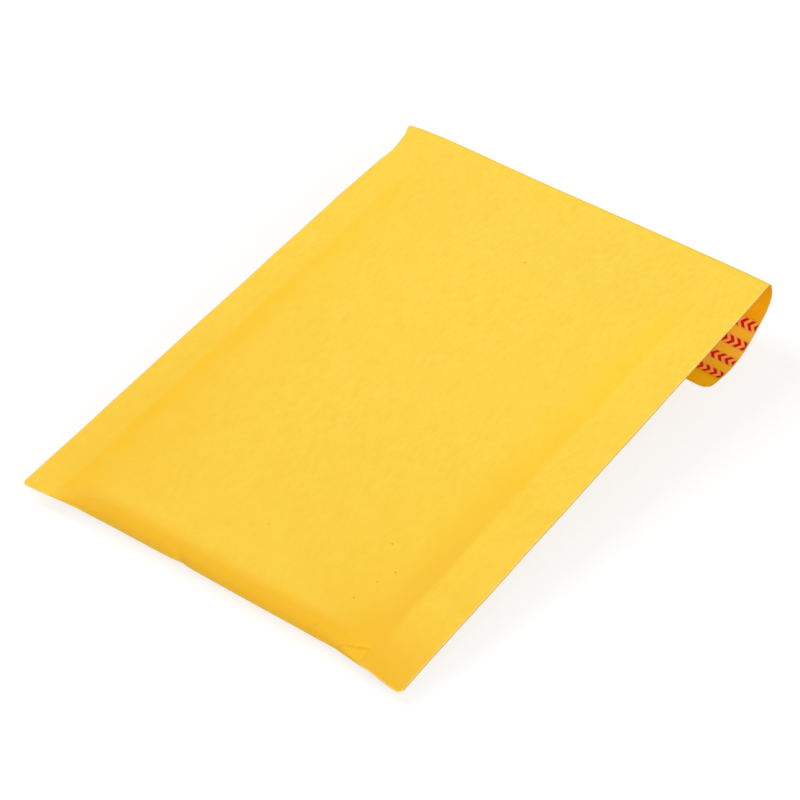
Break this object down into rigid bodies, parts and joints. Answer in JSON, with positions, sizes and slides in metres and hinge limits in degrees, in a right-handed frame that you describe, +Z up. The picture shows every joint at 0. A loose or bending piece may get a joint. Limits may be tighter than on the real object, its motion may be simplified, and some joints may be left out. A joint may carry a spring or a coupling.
{
  "type": "padded envelope",
  "caption": "Empty padded envelope of yellow kraft paper, lying on its back, with a bubble lining, flat side seals and an open flap curled under it, its peel strip still on.",
  "frame": {"origin": "middle of the bounding box's base, on the surface that the envelope lies on", "axes": "+X across the width, to the right seen from above with the flap at the far end; +Y along the length, from the bottom fold towards the flap end; +Z up"},
  "size_m": [0.13, 0.198, 0.0214],
  "materials": {
    "kraft_paper": "smooth golden yellow kraft paper, matt",
    "bubble_film": "clear polyethylene bubble film",
    "adhesive": "tacky hot-melt adhesive",
    "release_liner": "thin silicone-coated film with red marks"
  },
  "bodies": {
    "root": {"kraft_envelope": "kraft_paper", "bubble_lining": "bubble_film", "adhesive_strip": "adhesive", "release_liner": "release_liner"}
  },
  "joints": []
}
